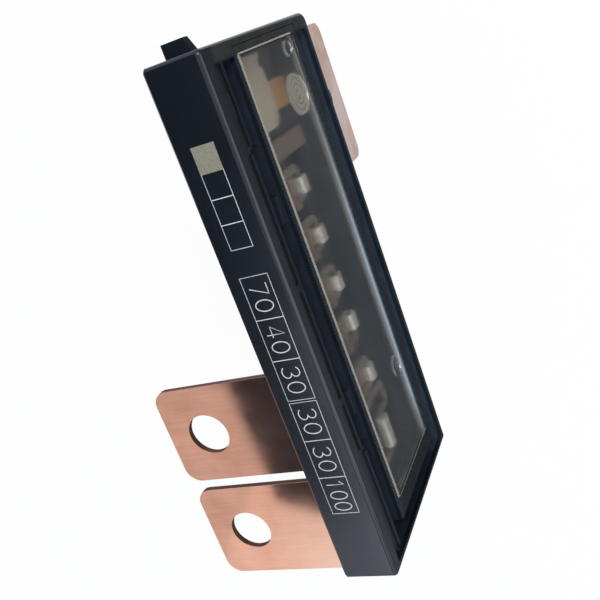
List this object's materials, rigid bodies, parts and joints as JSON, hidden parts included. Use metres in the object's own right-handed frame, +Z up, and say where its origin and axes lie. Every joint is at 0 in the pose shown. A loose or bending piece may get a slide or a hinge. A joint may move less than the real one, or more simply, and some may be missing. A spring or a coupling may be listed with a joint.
{
  "type": "multi fuse block",
  "caption": "Flat black fuse block with fuse links under a clear window, bolted copper tabs turned back from one edge and a copper supply plate past the other.",
  "frame": {"origin": "middle of the hole in the first bolted tab, the one nearer the lug, halfway through the sheet", "axes": "+X along the block from the end with the lug to the far end, +Y from the back face to the window, +Z up from the supply plate to the printed edge"},
  "size_m": [0.1024, 0.0366, 0.0663],
  "materials": {
    "black_housing": "moulded, satin",
    "black_cover": "moulded, satin",
    "clear_pane": "clear, polished",
    "sheet_copper": "brushed copper sheet",
    "blade_copper": "tinned copper alloy",
    "link_alloy": "stamped copper alloy",
    "tin": "cast tin, dull"
  },
  "bodies": {
    "root": {"supply_bus": "sheet_copper", "output_terminal": "sheet_copper", "output_blade_70": "blade_copper", "output_blade_40": "blade_copper", "output_blade_30_first": "blade_copper", "output_blade_30_second": "blade_copper", "output_blade_30_third": "blade_copper", "fuse_link_70": "link_alloy", "tin_pellet_70": "tin", "fuse_link_40": "link_alloy", "tin_pellet_40": "tin", "fuse_link_30_first": "link_alloy", "tin_pellet_30_first": "tin", "fuse_link_30_second": "link_alloy", "tin_pellet_30_second": "tin", "fuse_link_30_third": "link_alloy", "tin_pellet_30_third": "tin", "fuse_link_100": "link_alloy", "tin_pellet_100": "tin", "housing_tray": "black_housing", "cover_frame": "black_cover", "window_pane": "clear_pane"}
  },
  "joints": []
}
